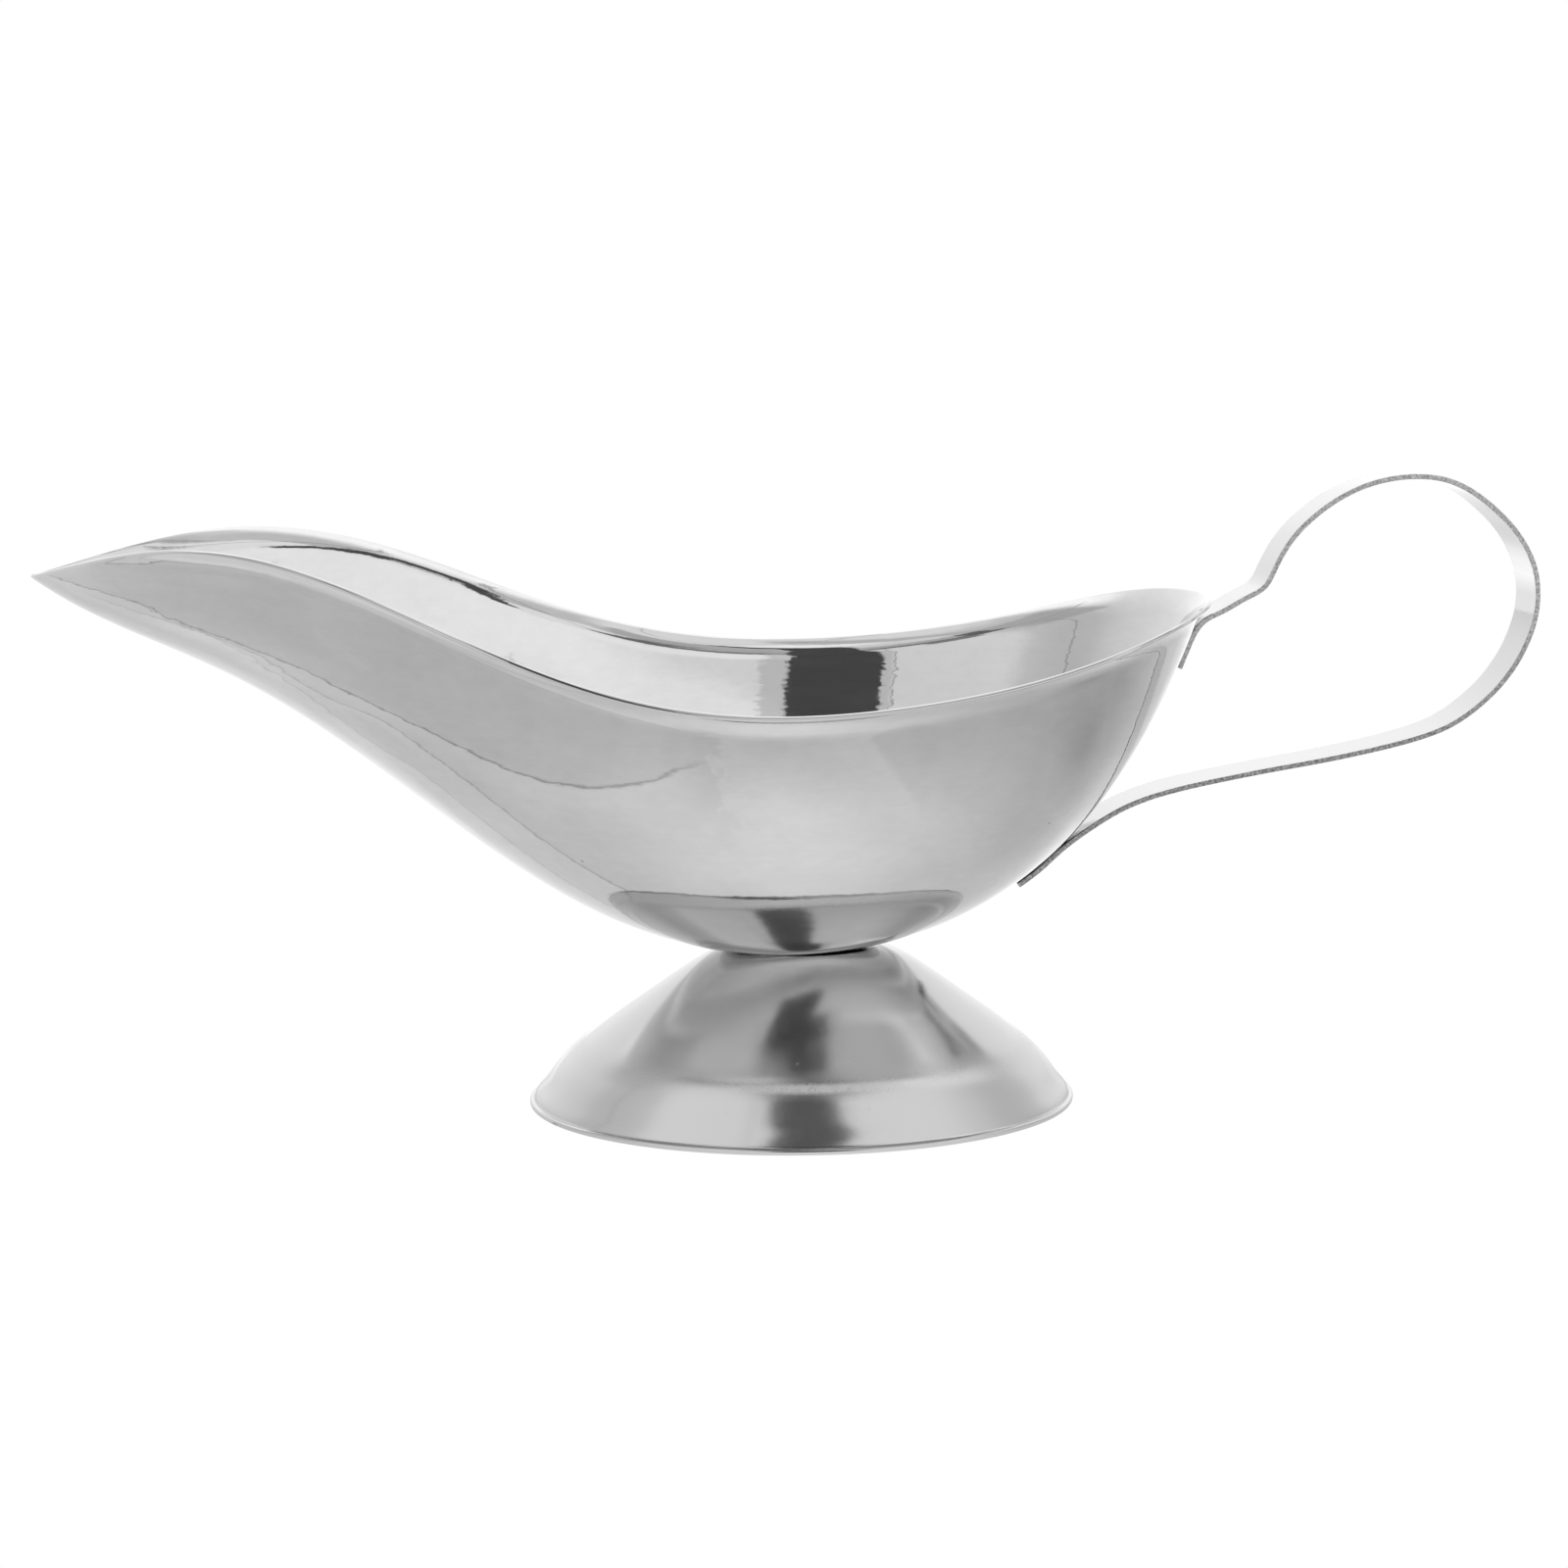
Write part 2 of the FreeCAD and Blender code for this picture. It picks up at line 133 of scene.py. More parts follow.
def spline_through(points, count):
    """count points and tangents, even in arc length, along a natural cubic spline."""
    fine_steps, tangent_step = 6000, 1e-3
    knots = np.asarray(points, float)
    chord = np.r_[0.0, np.cumsum(np.linalg.norm(np.diff(knots, axis=0), axis=1))]
    last = len(knots) - 1
    gap = np.diff(chord)
    system = np.zeros((last + 1, last + 1))
    target = np.zeros(knots.shape)
    system[0, 0] = system[-1, -1] = 1.0
    for i in range(1, last):
        system[i, i - 1:i + 2] = gap[i - 1], 2 * (gap[i - 1] + gap[i]), gap[i]
        target[i] = 6 * ((knots[i + 1] - knots[i]) / gap[i]
                         - (knots[i] - knots[i - 1]) / gap[i - 1])
    second = np.linalg.solve(system, target)

    def at(place):
        k = np.clip(np.searchsorted(chord, place) - 1, 0, last - 1)
        after, before = (chord[k + 1] - place)[:, None], (place - chord[k])[:, None]
        span = gap[k][:, None]
        return ((second[k] * after ** 3 + second[k + 1] * before ** 3) / (6 * span)
                + (knots[k] / span - second[k] * span / 6) * after
                + (knots[k + 1] / span - second[k + 1] * span / 6) * before)

    fine = np.linspace(0, chord[-1], fine_steps)
    run = np.r_[0.0, np.cumsum(np.linalg.norm(np.diff(at(fine), axis=0), axis=1))]
    place = np.interp(np.linspace(0, run[-1], count), run, fine)
    ahead = at(np.minimum(place + tangent_step, chord[-1]))
    behind = at(np.maximum(place - tangent_step, 0))
    return at(place), unit(ahead - behind)


# =====================================================================
#  Bowl (millimetres)
# =====================================================================
TIP_X, BACK_X = -102.17, 53.48
# Bernstein coefficients along the length, spout to back
BEAM = [122.66, 129.8, 87.15, 162.98, 73.63, 83.12, 72.84, 90.51]
SHEER = [73.37, 77.49, 80.25, 83.08, 75.11, 60.33, 54.21, 58.58, 61.41,
         58.9, 60.45, 68.4, 70.67]
DEPTH = [165.4, 122.7, 103.5, 133.2, 150.9, 121.3, 159.2, 214.8, 171.9, 471.0]
ROUND_TIP = 0.012       # how blunt the spout is in plan
FULLNESS = 0.35         # added to the section's power of 2 at mid length
RIM_OUTSET = 1.0        # how far the rim flares out
RIM_BAND = 3.0          # the length of sheet that flares
BOWL_GAUGE = 0.6
SEAT_X, SEAT_LONG, SEAT_WIDE = -2.0, 6.4, 4.7   # centre and half axes of the flat
SEAT_RISE = 0.8         # the flat above the lowest point of the keel curve
SEAT_BLEND = 0.3
BOWL_COLUMNS = 320
# rows up the skin as shares of its length, flat to rim
ROW_SHARES = np.r_[
    0.0, np.linspace(0.012, 0.12, 9), np.linspace(0.14, 0.88, 46),
    0.9, 0.915, 0.928, 0.94, 0.95, 0.958, 0.965, 0.971, 0.976,
    0.98, 0.984, 0.988, 0.992, 0.996, 1.0]
RIM_STEPS = 8           # steps round the edge of the rim
RIM_CROWN = 0.16        # how far that edge stands up
RIM_SQUARENESS = 0.7    # power of its superellipse; 1 is round


def half_beam(t):
    return np.sqrt(np.maximum(t * (t + ROUND_TIP) * (1.0 - t), 0.0)) * bernstein(BEAM, t)


def sheer_z(t):
    return bernstein(SHEER, t)


def keel_drop(t):
    return t * (1.0 - t) * bernstein(DEPTH, t)


belly = np.linspace(0.4, 0.8, 2001)
SEAT_Z = float((sheer_z(belly) - keel_drop(belly)).min()) + SEAT_RISE


def skin_z(x, y):
    """Height of the outer skin, blended into the flat seat."""
    t = np.clip((x - TIP_X) / (BACK_X - TIP_X), 0.0, 1.0)
    across = np.clip(np.abs(y) / np.maximum(half_beam(t), 1e-9), 0.0, 1.0)
    power = 2.0 + FULLNESS * (1.0 - (2.0 * t - 1.0) ** 4)
    drop = keel_drop(t)
    rise = sheer_z(t) - drop + drop * across ** power - SEAT_Z
    blended = (rise + SEAT_BLEND) ** 2 / (4.0 * SEAT_BLEND)
    return SEAT_Z + np.where(rise <= -SEAT_BLEND, 0.0,
                             np.where(rise < SEAT_BLEND, blended, rise))


def outline(angle):
    """Plan x, half beam and share of length; beyond 0..pi it runs down the other side."""
    t = (1.0 - np.cos(angle)) / 2.0
    s, c = np.sin(angle / 2.0), np.cos(angle / 2.0)
    half_width = s * np.sqrt(s * s + ROUND_TIP) * c * bernstein(BEAM, t)
    return TIP_X + (BACK_X - TIP_X) * t, half_width, t


def skin_column(angle):
    """Outer skin points from flat to rim (angle 0 spout, pi back, 2 pi spout)."""
    steps, crowding, nudge = 1200, 1.6, 1e-4
    side = 1.0 if math.sin(angle) >= 0 else -1.0
    angle = angle if angle <= math.pi else 2.0 * math.pi - angle
    rim_x, rim_y, t = (float(a) for a in outline(angle))
    to_seat = 1.0 / math.hypot((rim_x - SEAT_X) / SEAT_LONG, rim_y / SEAT_WIDE)
    seat_x, seat_y = SEAT_X + to_seat * (rim_x - SEAT_X), to_seat * rim_y
    u = 1.0 - (1.0 - np.linspace(0, 1, steps + 1)) ** crowding
    x, y = seat_x + (rim_x - seat_x) * u, seat_y + (rim_y - seat_y) * u
    z = skin_z(x, y)
    run = np.r_[0.0, np.cumsum(np.sqrt(np.diff(x) ** 2 + np.diff(y) ** 2 + np.diff(z) ** 2))]
    wanted = ROW_SHARES * run[-1]
    x, y, z = (np.interp(wanted, run, a) for a in (x, y, z))
    # the rim flares along the outline's plan normal, easing in from the spout
    if angle < nudge or angle > math.pi - nudge:
        normal_x, normal_y = (-1.0 if angle < 1.0 else 1.0), 0.0
    else:
        xa, ya, _ = outline(angle - nudge)
        xb, yb, _ = outline(angle + nudge)
        length = math.hypot(xb - xa, yb - ya)
        normal_x, normal_y = -(yb - ya) / length, (xb - xa) / length
    outset = RIM_OUTSET * float(smooth((t - 0.02) / 0.16))
    flare = outset * np.maximum(0.0, 1.0 - (run[-1] - wanted) / RIM_BAND) ** 2
    return np.c_[x + flare * normal_x, side * (y + flare * normal_y), z]


def upward_normals(skin):
    """Normals by central differences round the ring and along each column."""
    round_ring = np.roll(skin, -1, 0) - np.roll(skin, 1, 0)
    normals = np.cross(np.gradient(skin, axis=1), round_ring)
    normals /= np.maximum(np.linalg.norm(normals, axis=2, keepdims=True), 1e-12)
    up = np.sign(normals[..., 2:3])
    up[up == 0] = 1
    normals *= up
    normals[:, 0] = (0, 0, 1)
    # the spout and back columns lie in the plane of symmetry
    normals[0, :, 1] = 0
    normals[BOWL_COLUMNS // 2, :, 1] = 0
    return unit(normals)


def sheet_waves(x, y, z):
    """Slow, shallow waves of a pressed sheet: amplitudes, then wavelengths / 2 pi, in mm."""
    w = 0.020 * np.sin(x / 9.0 + 1.3 * np.sin(z / 11.0)) * np.sin(z / 7.5 + 0.6)
    w += 0.012 * np.sin(x / 4.7 + y / 8.0 + 2.0) * np.cos(z / 5.2 - x / 14.0)
    w += 0.006 * np.sin(x / 2.6 - z / 3.1) * np.sin(y / 4.0 + z / 6.0)
    w += (0.0016 * np.sin(x / 0.95 + z / 1.7 + 2.0 * np.sin(y / 9.0))
          * np.cos(z / 1.3 - x / 2.9 + 1.1))
    w += 0.0012 * np.sin(x / 1.35 - z / 1.05 + 0.4) * np.cos(x / 3.7 + y / 2.2)
    return w


def sheen_lean(skin):
    """How far the inner sheen turns towards the handle, in radians.

    It acts on the belly's +Y flank, above its lower part and below the rim.
    """
    x, y, z = skin[..., 0], skin[..., 1], skin[..., 2]
    below_rim = skin[:1, :, 2] - z
    degrees = 18.0 - 0.16 * (x - 7.0) + 0.28 * np.clip(z - 58.8, -12.0, 0.0)
    along = np.exp(-((x + 4.0) / 22.0) ** 2)
    flank = smooth((y - 8.0) / 12.0)
    height = smooth((z - 34.0) / 10.0) * smooth((below_rim - 1.1) / 0.5)
    return np.radians(degrees) * along * flank * height


def build_bowl():
    half = BOWL_COLUMNS // 2
    skin = np.array([skin_column(math.pi * i / half) for i in range(BOWL_COLUMNS)])
    normals = upward_normals(skin)
    # the waves die out at the flat, and weaken near the rim and low on the belly
    fade = smooth(ROW_SHARES / 0.15) * (1.0 - 0.7 * smooth((ROW_SHARES - 0.93) / 0.06))
    wave = sheet_waves(skin[..., 0], skin[..., 1], skin[..., 2]) * fade[None, :]
    wave *= 0.12 + 0.88 * smooth((skin[..., 2] - 30.0) / 12.0)
    outer = skin + normals * wave[..., None]
    inner = skin + normals * (BOWL_GAUGE + wave[..., None])

    rings = list(outer.swapaxes(0, 1))
    # edge of the rim: a squarish half turn from the outer to the inner skin
    middle = (outer[:, -1] + inner[:, -1]) / 2.0
    across = (outer[:, -1] - inner[:, -1]) / 2.0
    outward = unit(outer[:, -1] - outer[:, -2])
    for k in range(1, RIM_STEPS):
        c, s = math.cos(math.pi * k / RIM_STEPS), math.sin(math.pi * k / RIM_STEPS)
        c = math.copysign(abs(c) ** RIM_SQUARENESS, c)
        rings.append(middle + across * c + outward * (RIM_CROWN * s ** RIM_SQUARENESS))
    first_inner = len(rings)
    rings += list(inner.swapaxes(0, 1)[::-1])
    rings = np.array(rings)

    centres = [[SEAT_X, 0, SEAT_Z], [SEAT_X, 0, SEAT_Z + BOWL_GAUGE]]
    ob = ring_solid("bowl", rings, centres, reverse=True)
    lean = np.zeros(len(ob.data.vertices), np.float32)
    lean[first_inner * BOWL_COLUMNS:-len(centres)] = sheen_lean(rings[first_inner:]).ravel()
    add_point_values(ob, "lean", lean)
    return ob


bowl = build_bowl()
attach(bowl, "root")
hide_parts("sauce_bowl")

# =====================================================================
#  Foot (millimetres)
# =====================================================================
# stations of the outer skin: height, half length, half width
FOOT = [(0.8, 37.75, 23.10), (1.5, 37.45, 22.85), (2.3, 36.8, 22.60), (3.3, 35.95, 22.30),
        (4.8, 34.9, 21.75), (6.8, 33.15, 20.95), (8.4, 31.4, 20.12), (9.6, 30.0, 19.05),
        (12.4, 26.4, 16.40), (14.9, 22.9, 14.05), (17.4, 19.4, 11.70), (19.4, 16.5, 9.80),
        (20.9, 14.1, 8.40), (21.8, 12.2, 7.55), (22.38, 10.2, 6.85)]
# rolled bottom edge, outside to inside: half length, height
FOOT_LIP = [(37.80, 0.78), (37.88, 0.765), (38.0, 0.76), (38.08, 0.755), (38.17, 0.72),
            (38.24, 0.655), (38.28, 0.56), (38.29, 0.45), (38.29, 0.3), (38.275, 0.18),
            (38.235, 0.09), (38.17, 0.03), (38.07, 0.0), (37.9, 0.0), (37.72, 0.0),
            (37.58, 0.01), (37.51, 0.05)]
FOOT_LONG, FOOT_WIDE = 38.29, 23.79     # greatest half length and half width
LIP_WIDTH_RATE = 1.3                    # half width lost per mm of half length
FOOT_TOP, TOP_LONG, TOP_WIDE = FOOT[-1]
FOOT_DROP, FOOT_INSET = 0.9, 0.15       # inner skin below and inside the outer
INNER_START = 0.12                      # the inner skin begins above this height
FOOT_SIDE_ROWS, FOOT_COLUMNS = 130, 240
TOP_SHARES = np.linspace(0.0, 1.0, 9)[1:-1]


def build_foot():
    side, _ = spline_through([(a, b, z) for z, a, b in FOOT], FOOT_SIDE_ROWS)
    # half length, half width, height: over the top, down, round the lip, back up
    profile = [(TOP_LONG * r, TOP_WIDE * r, FOOT_TOP) for r in TOP_SHARES]
    profile += [tuple(station) for station in side[::-1]]
    profile += [(a, FOOT_WIDE - (FOOT_LONG - a) * LIP_WIDTH_RATE, z) for a, z in FOOT_LIP]
    profile += [(a - FOOT_INSET, b - FOOT_INSET, z - FOOT_DROP)
                for a, b, z in side if z - FOOT_DROP > INNER_START]
    profile += [((TOP_LONG - FOOT_INSET) * r, (TOP_WIDE - FOOT_INSET) * r,
                 FOOT_TOP - FOOT_DROP) for r in TOP_SHARES[::-1]]
    profile = np.array(profile)
    angle = np.arange(FOOT_COLUMNS)[None] * 2 * math.pi / FOOT_COLUMNS
    x = profile[:, 0:1] * np.cos(angle)
    y = profile[:, 1:2] * np.sin(angle)
    z = np.repeat(profile[:, 2:3], FOOT_COLUMNS, 1)
    # slight lobes round the skin between lip and top, amplitudes in mm
    wavy = (z > 1.2) & (z < 21.5)
    lobes = (0.010 * np.sin(2 * angle + z / 6.0)
             + 0.004 * np.sin(5 * angle - z / 4.0 + 1.0)
             + 0.002 * np.sin(9 * angle + z / 2.3))
    swell = 1.0 + wavy * lobes / np.maximum(np.hypot(x, y), 1.0)
    return ring_solid("foot", np.stack([x * swell, y * swell, z], 2),
                      [[0, 0, FOOT_TOP], [0, 0, FOOT_TOP - FOOT_DROP]])


foot = build_foot()
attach(foot, "root")
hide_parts("pedestal_foot")

# =====================================================================
#  Strap handle (millimetres)
# =====================================================================
# centre line in the XZ plane, upper end to lower end: x, z
STRAP_PATH = [
    (50.72, 61.20), (51.26, 62.65), (51.81, 64.10), (52.40, 65.55),
    (53.10, 66.80), (54.10, 67.80), (55.35, 68.50), (56.70, 69.15),
    (58.00, 69.90), (59.30, 70.65), (60.55, 71.30), (61.65, 71.95),
    (62.45, 72.80), (63.00, 73.85), (63.65, 75.35), (64.50, 77.05),
    (65.95, 79.25), (68.20, 81.60), (71.35, 84.00), (75.20, 85.95),
    (79.20, 87.02), (83.00, 87.30), (86.60, 86.85), (90.10, 85.45),
    (93.40, 83.20), (96.30, 80.60), (98.60, 77.65), (100.05, 74.70),
    (100.70, 71.60), (100.65, 68.30), (99.85, 65.05), (98.40, 61.80),
    (96.20, 58.60), (93.30, 55.70), (89.60, 53.10), (85.40, 51.40),
    (81.20, 50.25), (77.00, 49.30), (71.50, 48.20), (64.60, 47.00),
    (57.80, 45.72), (50.90, 44.22), (47.80, 43.35), (45.20, 42.40),
    (42.60, 41.15), (40.00, 39.55), (37.40, 37.75), (35.10, 35.92),
    (33.40, 34.33), (31.90, 32.97), (30.60, 31.95), (29.30, 31.00),
]
STRAP_HALF_WIDTH, STRAP_HALF_THICK = 6.7 / 2, 0.7 / 2
STRAP_ROWS = 1100
CORNER = 0.06           # broken corners along the strap
FACE_MARGIN = 0.25      # from each edge to the evenly spaced face points
END_BREAK, END_CROWN = 0.05, 0.03       # how the two cut ends draw in and stand out
SLOW_STEP = 24          # rows between knots of the slow edge wobble
GRAIN_DEPTH, SLOW_DEPTH = 0.022, 0.012
EDGE_LIMITS = (-0.05, 0.03)


def strap_section():
    """Section once round: across (Y), through the thickness, 1 on a sheared edge."""
    hw, ht = STRAP_HALF_WIDTH, STRAP_HALF_THICK
    face = np.r_[-hw + CORNER, np.linspace(-hw + FACE_MARGIN, hw - FACE_MARGIN, 9),
                 hw - CORNER]
    edge = np.linspace(ht - CORNER, -ht + CORNER, 6)
    return np.array([(y, ht, 0) for y in face] + [(hw, n, 1) for n in edge]
                    + [(y, -ht, 0) for y in face[::-1]] + [(-hw, n, 1) for n in edge[::-1]])


def build_strap():
    middle, tangent = spline_through(STRAP_PATH, STRAP_ROWS)
    normal = np.c_[-tangent[:, 1], tangent[:, 0]]
    section = strap_section()
    count = len(section)
    on_edge = section[:, 2] > 0
    grain = rng.normal(0.0, 1.0, (STRAP_ROWS, count))
    grain = 0.6 * grain + 0.4 * np.roll(grain, 1, 0)
    knots = np.arange(0, STRAP_ROWS + SLOW_STEP, SLOW_STEP)
    slow = np.interp(np.arange(STRAP_ROWS), knots, rng.normal(0, 1, len(knots)))
    push = np.where(on_edge[None, :], GRAIN_DEPTH * grain + SLOW_DEPTH * slow[:, None], 0.0)
    y = section[None, :, 0] + np.sign(section[None, :, 0]) * np.clip(push, *EDGE_LIMITS)
    x = middle[:, 0:1] + normal[:, 0:1] * section[None, :, 1]
    z = middle[:, 1:2] + normal[:, 1:2] * section[None, :, 1]
    verts = np.stack([x, y, z], 2).reshape(-1, 3)
    faces = [tuple(f) for f in tube_faces(STRAP_ROWS, count)]
    # each end: a slightly smaller ring, then a fan to its centre
    for row, sign in ((0, -1.0), (STRAP_ROWS - 1, 1.0)):
        start = row * count
        ring = verts[start:start + count]
        centre = ring.mean(0)
        outward = np.array([tangent[row, 0], 0, tangent[row, 1]]) * sign * END_CROWN
        through = np.array([normal[row, 0], 0, normal[row, 1]])
        offset = ring - centre
        small = centre + np.outer(offset @ through * (1 - END_BREAK / STRAP_HALF_THICK),
                                  through)
        small[:, 1] = centre[1] + offset[:, 1] * (1 - END_BREAK / STRAP_HALF_WIDTH)
        base = len(verts)
        verts = np.r_[verts, small + outward, [centre + outward]]
        for i in range(count):
            j = (i + 1) % count
            quad = (start + i, start + j, base + j, base + i)
            triangle = (base + i, base + j, base + count)
            faces += [quad, triangle] if sign > 0 else [quad[::-1], triangle[::-1]]
    ob = make_mesh("strap", verts * MM, faces)
    face_out(ob)
    # marks the sheared edges and ends for the material
    sheared = np.ones(len(verts), np.float32)
    sheared[:STRAP_ROWS * count] = np.tile(on_edge, STRAP_ROWS)
    add_point_values(ob, "sheared", sheared)
    return ob


strap = build_strap()
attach(strap, "root")
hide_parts("strap_handle")


# =====================================================================
#  Shader building
# =====================================================================
class Shader:
    """Builds one node tree. An input given as a socket is linked, a number is set."""

    def __init__(self, tree):
        self.tree = tree
        tree.nodes.clear()

    def add(self, kind, inputs, **settings):
        made = self.tree.nodes.new(kind)
        for name, value in settings.items():
            setattr(made, name, value)
        for key, value in inputs.items():
            if isinstance(value, bpy.types.NodeSocket):
                self.tree.links.new(value, made.inputs[key])
            elif value is not None:
                made.inputs[key].default_value = value
        return made

    def math(self, operation, *values):
        inputs = dict(enumerate(values))
        return self.add("ShaderNodeMath", inputs, operation=operation).outputs[0]

    def plus(self, *values):
        return reduce(lambda a, b: self.math("ADD", a, b), values)

    def times(self, *values):
        return reduce(lambda a, b: self.math("MULTIPLY", a, b), values)

    def remap(self, value, to, span=(0.3, 0.7)):
        """Stretch span onto to; the default span is a noise's usual range."""
        inputs = {"Value": value, "From Min": span[0], "From Max": span[1],
                  "To Min": to[0], "To Max": to[1]}
        return self.add("ShaderNodeMapRange", inputs).outputs["Result"]

    def ease(self, value, start, end):
        """0 at start, 1 at end, soft between; end may be the lower."""
        rising = start < end
        inputs = {"Value": value, "From Min": min(start, end), "From Max": max(start, end),
                  "To Min": 0.0 if rising else 1.0, "To Max": 1.0 if rising else 0.0}
        return self.add("ShaderNodeMapRange", inputs,
                        interpolation_type="SMOOTHSTEP").outputs["Result"]

    def band(self, value, rise, fall):
        """Eases up over rise and back down over fall = (0 here, 1 here)."""
        return self.times(self.ease(value, *rise), self.ease(value, *fall))

    def hump(self, *offsets):
        """exp(-(sum of squared offsets))."""
        squares = [self.math("POWER", self.math("ABSOLUTE", a), 2.0) for a in offsets]
        return self.math("EXPONENT", self.times(self.plus(*squares), -1.0))

    def curve(self, value, span, points, top=2.0):
        """A smooth profile of one coordinate; points = (coordinate, level up to top)."""
        low, high = span
        along = self.remap(value, span=span, to=(0.0, 1.0))
        made = self.add("ShaderNodeFloatCurve", {"Value": along})
        knots = made.mapping.curves[0].points
        while len(knots) < len(points):
            knots.new(0.5, 0.5)
        for knot, (place, level) in zip(knots, points):
            knot.location = ((place - low) / (high - low), level / top)
            knot.handle_type = "AUTO_CLAMPED"
        made.mapping.use_clip = False
        made.mapping.update()
        return self.times(made.outputs["Value"], top)

    def mix(self, factor, a, b, kind="FLOAT"):
        inputs = {"Factor": factor, "A": a, "B": b}
        return self.add("ShaderNodeMix", inputs, data_type=kind).outputs["Result"]

    def panel(self, level, brightness, sides, weight=1.0):
        """Lay a soft-edged patch over level; sides = (coordinate, low, high, softness)."""
        masks = []
        for along, low, high, soft in sides:
            if low is not None:
                masks.append(self.ease(along, low - soft, low + soft))
            if high is not None:
                masks.append(self.ease(along, high + soft, high - soft))
        if weight != 1.0:
            masks.append(weight)
        return self.mix(self.times(*masks), level, brightness)

    def white_to_camera(self, level):
        """Full white seen directly, level when mirrored."""
        path = self.add("ShaderNodeLightPath", {})
        return self.mix(path.outputs["Is Camera Ray"], level, 1.0)

    def object_coords(self, scale=(1, 1, 1)):
        coords = self.add("ShaderNodeTexCoord", {}).outputs["Object"]
        inputs = {"Vector": coords, "Scale": scale}
        return self.add("ShaderNodeMapping", inputs).outputs["Vector"]

    def xyz(self, vector):
        outputs = self.add("ShaderNodeSeparateXYZ", {0: vector}).outputs
        return outputs["X"], outputs["Y"], outputs["Z"]

    def attribute(self, name):
        return self.add("ShaderNodeAttribute", {}, attribute_name=name).outputs["Fac"]

    def geometry(self, output):
        return self.add("ShaderNodeNewGeometry", {}).outputs[output]

    def noise(self, vector, scale, detail=2.0, rough=0.5, distortion=0.0):
        inputs = {"Vector": vector, "Scale": scale, "Detail": detail,
                  "Roughness": rough, "Distortion": distortion}
        return self.add("ShaderNodeTexNoise", inputs).outputs["Fac"]

    def voronoi(self, vector, scale):
        return self.add("ShaderNodeTexVoronoi", {"Vector": vector, "Scale": scale}).outputs

    def grey(self, value):
        inputs = dict.fromkeys(("Red", "Green", "Blue"), value)
        return self.add("ShaderNodeCombineColor", inputs).outputs["Color"]

    def bump(self, height, distance, strength=1.0, normal=None):
        inputs = {"Height": height, "Distance": distance, "Strength": strength,
                  "Normal": normal}
        return self.add("ShaderNodeBump", inputs).outputs["Normal"]

    def metal(self, color, rough, normal):
        inputs = {"Metallic": 1.0, "Base Color": color, "Roughness": rough, "Normal": normal}
        return self.add("ShaderNodeBsdfPrincipled", inputs).outputs["BSDF"]

    def mix_shaders(self, factor, first, second):
        inputs = {"Fac": factor, 1: first, 2: second}
        return self.add("ShaderNodeMixShader", inputs).outputs["Shader"]

    def output(self, surface, kind="ShaderNodeOutputMaterial"):
        self.add(kind, {"Surface": surface})


def new_material(name):
    material = bpy.data.materials.new(name)
    material.use_nodes = True
    return material, Shader(material.node_tree)


def grey_rgba(level):
    return (level, level, level, 1)


# =====================================================================
#  Materials
# =====================================================================
def bowl_material():
    """Mirror polish with buffing lines, specks and a faint haze."""
    material, sh = new_material("bowl_polished")
    lines = sh.noise(sh.object_coords(scale=(1, 1, 14)), scale=300, detail=3, rough=0.6)
    cloud = sh.noise(sh.object_coords(), scale=55, detail=3, rough=0.5)
    rough = sh.plus(sh.remap(lines, span=(0.35, 0.7), to=(0.016, 0.030)),
                    sh.remap(cloud, to=(0.0, 0.02)))
    # mottled grey with dark specks
    pits = sh.voronoi(sh.object_coords(), scale=95)["Distance"]
    clear_of_pits = sh.remap(pits, span=(0.012, 0.03), to=(0.45, 1.0))
    broad = sh.noise(sh.object_coords(scale=(1, 1, 1.4)), scale=70, detail=3, rough=0.55)
    small = sh.noise(sh.object_coords(scale=(1, 1, 2)), scale=420, detail=3, rough=0.6)
    mottle = sh.plus(sh.remap(broad, to=(0.598, 0.630)), sh.remap(small, to=(-0.010, 0.014)))
    color = sh.mix(clear_of_pits, grey_rgba(0.25), sh.grey(mottle), kind="RGBA")
    # buffing lines along the sheet fray the upright edges of what it mirrors
    fray = sh.noise(sh.object_coords(scale=(1, 1, 8)), scale=200, detail=2, rough=0.6)
    angle = sh.plus(sh.attribute("lean"),
                    sh.remap(fray, span=(0.0, 1.0), to=(-0.020, 0.020)))
    turned = sh.add("ShaderNodeVectorRotate",
                    {"Vector": sh.geometry("Normal"), "Angle": angle},
                    rotation_type="Z_AXIS").outputs["Vector"]
    ripple = sh.noise(sh.object_coords(), scale=420, detail=2, rough=0.5)
    sheet = sh.bump(ripple, distance=0.000009, normal=turned)
    polish = sh.metal(color, rough,
                      sh.bump(lines, distance=0.000004, strength=0.10, normal=sheet))
    haze = sh.add("ShaderNodeBsdfAnisotropic", {"Color": grey_rgba(0.62), "Roughness": 0.42},
                  distribution="GGX").outputs["BSDF"]
    streak = sh.noise(sh.object_coords(scale=(1, 1, 9)), scale=130, detail=4, rough=0.6)
    haze_share = sh.remap(streak, span=(0.35, 0.70), to=(0.02, 0.045))
    sh.output(sh.mix_shaders(haze_share, polish, haze))
    return material


